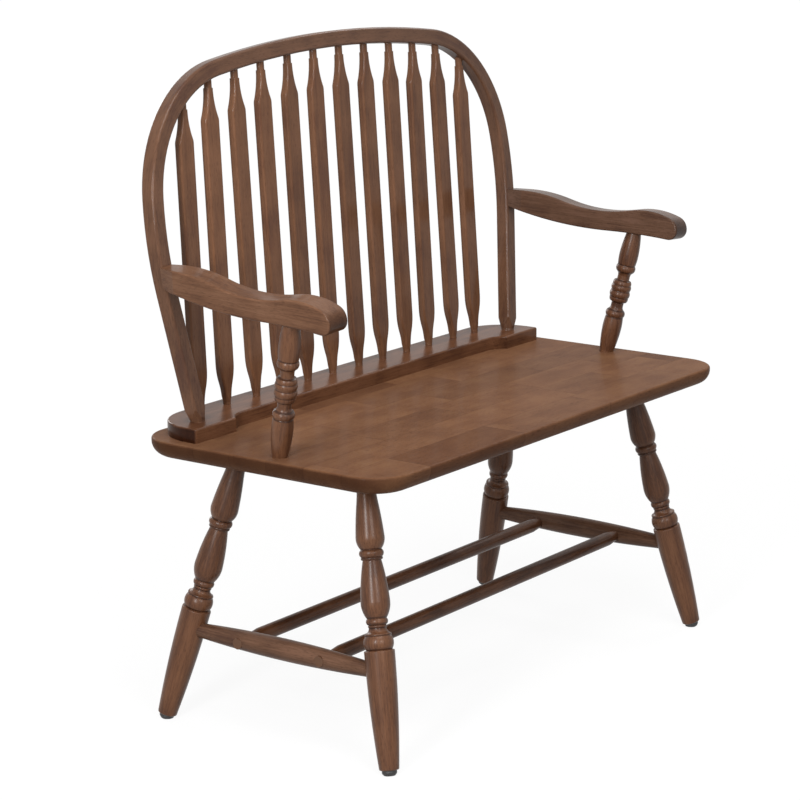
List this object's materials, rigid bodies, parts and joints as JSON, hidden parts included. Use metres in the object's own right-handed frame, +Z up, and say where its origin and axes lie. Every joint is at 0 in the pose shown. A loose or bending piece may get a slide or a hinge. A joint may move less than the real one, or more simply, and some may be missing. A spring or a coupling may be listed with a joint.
{
  "type": "windsor settee bench",
  "caption": "Two-seat wooden Windsor bench: flat plank seat, bent bow back with arrow spindles, scrolled arms on turned posts, splayed turned legs joined by stretchers.",
  "frame": {"origin": "centre of the bounding box's base, on the floor under the bench", "axes": "+X to the right seen from the front, along the bench; -Y is the front, towards the sitter's knees; +Z up"},
  "size_m": [0.9948, 0.4834, 1.0285],
  "materials": {
    "seat_wood": "satin",
    "frame_wood": "satin",
    "spindle_wood": "satin",
    "turned_wood": "satin",
    "glide_plastic": "satin",
    "steel": "satin"
  },
  "bodies": {
    "root": {"seat_panel": "seat_wood", "back_rail": "frame_wood", "bow": "frame_wood", "spindle_01": "spindle_wood", "spindle_02": "spindle_wood", "spindle_03": "spindle_wood", "spindle_04": "spindle_wood", "spindle_05": "spindle_wood", "spindle_06": "spindle_wood", "spindle_07": "spindle_wood", "spindle_08": "spindle_wood", "spindle_09": "spindle_wood", "spindle_10": "spindle_wood", "spindle_11": "spindle_wood", "spindle_12": "spindle_wood", "arm_left": "frame_wood", "arm_right": "frame_wood", "arm_post_left": "turned_wood", "arm_post_right": "turned_wood", "leg_front_left": "turned_wood", "glide_front_left": "glide_plastic", "leg_front_right": "turned_wood", "glide_front_right": "glide_plastic", "leg_rear_left": "turned_wood", "glide_rear_left": "glide_plastic", "leg_rear_right": "turned_wood", "glide_rear_right": "glide_plastic", "side_stretcher_left": "turned_wood", "side_stretcher_right": "turned_wood", "long_stretcher_front": "turned_wood", "long_stretcher_rear": "turned_wood", "glide_nails": "steel", "rail_screws": "steel", "arm_screws": "steel", "arm_plugs": "frame_wood"}
  },
  "joints": []
}
